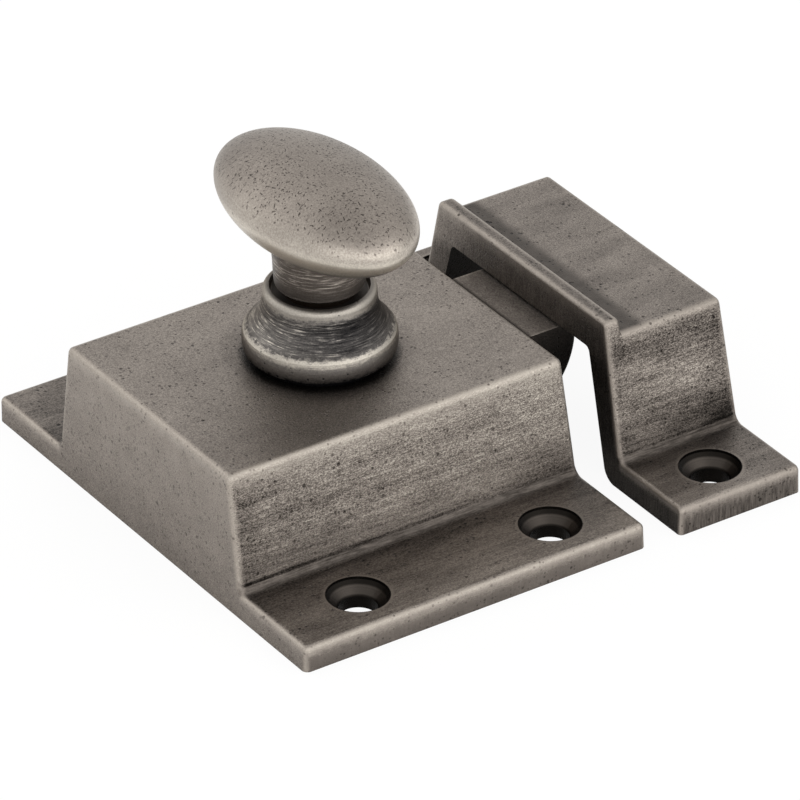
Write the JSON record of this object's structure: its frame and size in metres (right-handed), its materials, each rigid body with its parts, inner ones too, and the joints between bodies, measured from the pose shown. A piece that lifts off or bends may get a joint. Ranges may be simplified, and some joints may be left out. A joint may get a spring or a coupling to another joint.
{
  "type": "cupboard catch latch",
  "caption": "Surface-mounted cupboard catch: oval turn knob on a hat-shaped cast case, spring bolt with a rounded nose, and a separate cast strike with a raised lip.",
  "frame": {"origin": "centre of the case's four screw holes, on the mounting plane", "axes": "+Z out of the door, away from the mounting plane; +X along the bolt, from the case to the strike"},
  "size_m": [0.0633, 0.0608, 0.0396],
  "materials": {
    "case_pewter": "antique pewter, darkened and rubbed back on the edges",
    "strike_pewter": "antique pewter, darker, brushed",
    "knob_pewter": "antique pewter, rubbed bright",
    "bolt_pewter": "antique pewter, as cast",
    "steel": "plain steel",
    "spring_steel": "drawn spring wire",
    "bronze": "sintered bronze"
  },
  "bodies": {
    "case": {"case": "case_pewter", "cover_plate": "steel", "cover_screws": "steel", "collar": "knob_pewter", "spindle_bush": "bronze", "thrust_washer": "bronze", "strike": "strike_pewter", "bolt_spring": "spring_steel"},
    "knob": {"knob": "knob_pewter", "spindle": "steel", "cam": "steel", "cam_washer": "steel", "cam_screw": "steel"},
    "bolt": {"latch_bolt": "bolt_pewter"}
  },
  "joints": [
    {"name": "knob_turn", "type": "hinge", "parent": "case", "child": "knob", "pos_m": [-0.0006, 0, 0.02], "axis": [0, 0, -1], "range_deg": [0, 75]},
    {"name": "bolt_slide", "type": "slide", "parent": "case", "child": "bolt", "axis": [-1, 0, 0], "range_m": [0, 0.00589], "stiffness_N_per_m": 205, "springref_m": -0.005, "deforming": ["bolt_spring"]}
  ],
  "couplings": [
    {"joint": "knob_turn", "follows": "bolt_slide", "rad_per_m": 222.22}
  ]
}
